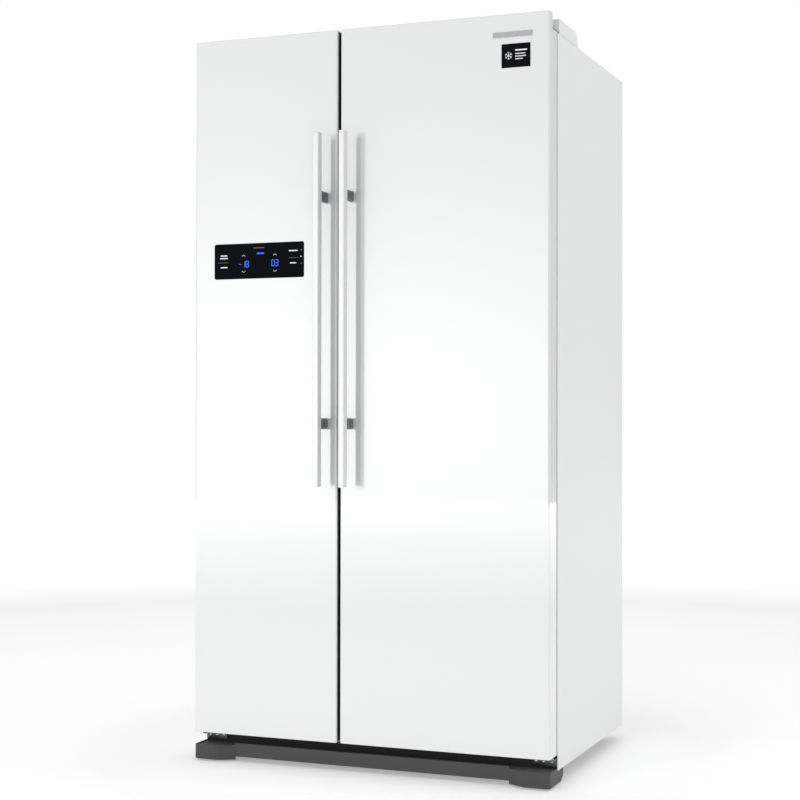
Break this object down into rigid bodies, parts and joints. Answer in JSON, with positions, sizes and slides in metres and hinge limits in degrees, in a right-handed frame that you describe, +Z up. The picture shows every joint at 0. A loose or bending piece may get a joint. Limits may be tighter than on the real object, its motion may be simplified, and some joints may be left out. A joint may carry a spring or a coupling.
{
  "type": "side-by-side refrigerator",
  "caption": "Side-by-side refrigerator with full-height hinged doors, bar handles and a door display, with shelves, drawers, door bins and an ice maker inside.",
  "frame": {"origin": "middle of the footprint, on the floor", "axes": "+X to the right seen from the front, +Y to the back, +Z up"},
  "size_m": [0.912, 0.734, 1.774],
  "materials": {
    "door_paint": "gloss",
    "case_paint": "satin",
    "white_plastic": "satin",
    "clear_plastic": "gloss",
    "shelf_glass": "gloss",
    "foam": "matte",
    "gasket": "matte",
    "handle_metal": "satin",
    "mount_metal": "satin",
    "display_glass": "gloss",
    "base_plastic": "matte",
    "zinc_steel": "satin",
    "black_paint": "satin",
    "coil_aluminium": "satin",
    "black_plastic": "matte"
  },
  "bodies": {
    "cabinet": {"outer_case": "case_paint", "back_panel": "case_paint", "insulation": "foam", "freezer_liner": "white_plastic", "fridge_liner": "white_plastic", "base_frame": "zinc_steel", "base_cover": "base_plastic", "evaporator": "coil_aluminium", "evaporator_cover": "white_plastic", "air_duct_cover": "white_plastic", "ice_maker_frame": "white_plastic", "compressor": "black_paint", "condenser": "coil_aluminium", "fan_shroud": "zinc_steel", "drip_tray": "black_plastic", "compressor_cover": "zinc_steel", "freezer_shelf_lower": "shelf_glass", "freezer_shelf_upper": "shelf_glass", "crisper_cover": "shelf_glass", "fridge_shelf_lower": "shelf_glass", "fridge_shelf_middle": "shelf_glass", "fridge_shelf_upper": "shelf_glass", "upper_hinge_left": "zinc_steel", "upper_hinge_right": "zinc_steel", "lower_hinge_left": "zinc_steel", "lower_hinge_right": "zinc_steel", "hinge_cover_left": "case_paint", "hinge_cover_right": "case_paint"},
    "freezer_door": {"freezer_door_shell": "door_paint", "freezer_door_foam": "foam", "freezer_door_liner": "white_plastic", "freezer_door_gasket": "gasket", "freezer_handle_bar": "handle_metal", "freezer_handle_mount_upper": "mount_metal", "freezer_handle_mount_lower": "mount_metal", "display_panel": "display_glass", "freezer_door_bin_1": "clear_plastic", "freezer_door_bin_2": "clear_plastic"},
    "fridge_door": {"fridge_door_shell": "door_paint", "fridge_door_foam": "foam", "fridge_door_liner": "white_plastic", "fridge_door_gasket": "gasket", "fridge_handle_bar": "handle_metal", "fridge_handle_mount_upper": "mount_metal", "fridge_handle_mount_lower": "mount_metal", "fridge_door_bin_1": "clear_plastic", "fridge_door_bin_2": "clear_plastic", "fridge_door_bin_3": "clear_plastic"},
    "freezer_drawer_lower": {"freezer_drawer_lower": "clear_plastic"},
    "freezer_drawer_upper": {"freezer_drawer_upper": "clear_plastic"},
    "crisper_drawer_lower": {"crisper_drawer_lower": "clear_plastic"},
    "crisper_drawer_upper": {"crisper_drawer_upper": "clear_plastic"},
    "ice_bucket": {"ice_bucket": "clear_plastic"},
    "ice_tray": {"ice_tray": "clear_plastic"},
    "evaporator_fan": {"evaporator_fan": "black_plastic"},
    "condenser_fan": {"condenser_fan": "black_plastic"},
    "levelling_leg_left": {"levelling_leg_left": "base_plastic"},
    "levelling_leg_right": {"levelling_leg_right": "base_plastic"},
    "rear_roller_left": {"rear_roller_left": "black_plastic"},
    "rear_roller_right": {"rear_roller_right": "black_plastic"}
  },
  "joints": [
    {"name": "freezer_door_hinge", "type": "hinge", "parent": "cabinet", "child": "freezer_door", "pos_m": [-0.444, -0.262, 0], "axis": [0, 0, -1], "range_deg": [0, 120]},
    {"name": "fridge_door_hinge", "type": "hinge", "parent": "cabinet", "child": "fridge_door", "pos_m": [0.444, -0.262, 0], "axis": [0, 0, 1], "range_deg": [0, 120]},
    {"name": "freezer_drawer_lower_slide", "type": "slide", "parent": "cabinet", "child": "freezer_drawer_lower", "axis": [0, -1, 0], "range_m": [0, 0.055]},
    {"name": "freezer_drawer_upper_slide", "type": "slide", "parent": "cabinet", "child": "freezer_drawer_upper", "axis": [0, -1, 0], "range_m": [0, 0.055]},
    {"name": "crisper_drawer_lower_slide", "type": "slide", "parent": "cabinet", "child": "crisper_drawer_lower", "axis": [0, -1, 0], "range_m": [0, 0.055]},
    {"name": "crisper_drawer_upper_slide", "type": "slide", "parent": "cabinet", "child": "crisper_drawer_upper", "axis": [0, -1, 0], "range_m": [0, 0.055]},
    {"name": "ice_bucket_slide", "type": "slide", "parent": "cabinet", "child": "ice_bucket", "axis": [0, -1, 0], "range_m": [0, 0.13]},
    {"name": "ice_tray_twist", "type": "hinge", "parent": "cabinet", "child": "ice_tray", "pos_m": [-0.2495, 0, 1.6249], "axis": [0, 1, 0], "range_deg": [0, 150], "stiffness_Nm_per_rad": 0.3},
    {"name": "evaporator_fan_spin", "type": "hinge", "parent": "cabinet", "child": "evaporator_fan", "pos_m": [-0.2495, 0.264, 0.625], "axis": [0, 1, 0], "continuous": true},
    {"name": "condenser_fan_spin", "type": "hinge", "parent": "cabinet", "child": "condenser_fan", "pos_m": [-0.072, 0.252, 0.137], "axis": [1, 0, 0], "continuous": true},
    {"name": "levelling_leg_left_screw", "type": "hinge", "parent": "cabinet", "child": "levelling_leg_left", "pos_m": [-0.42, -0.2197, 0], "axis": [0, 0, 1], "continuous": true},
    {"name": "levelling_leg_right_screw", "type": "hinge", "parent": "cabinet", "child": "levelling_leg_right", "pos_m": [0.42, -0.2197, 0], "axis": [0, 0, 1], "continuous": true},
    {"name": "rear_roller_left_axle", "type": "hinge", "parent": "cabinet", "child": "rear_roller_left", "pos_m": [-0.4, 0.315, 0.017], "axis": [1, 0, 0], "continuous": true},
    {"name": "rear_roller_right_axle", "type": "hinge", "parent": "cabinet", "child": "rear_roller_right", "pos_m": [0.4, 0.315, 0.017], "axis": [1, 0, 0], "continuous": true}
  ]
}
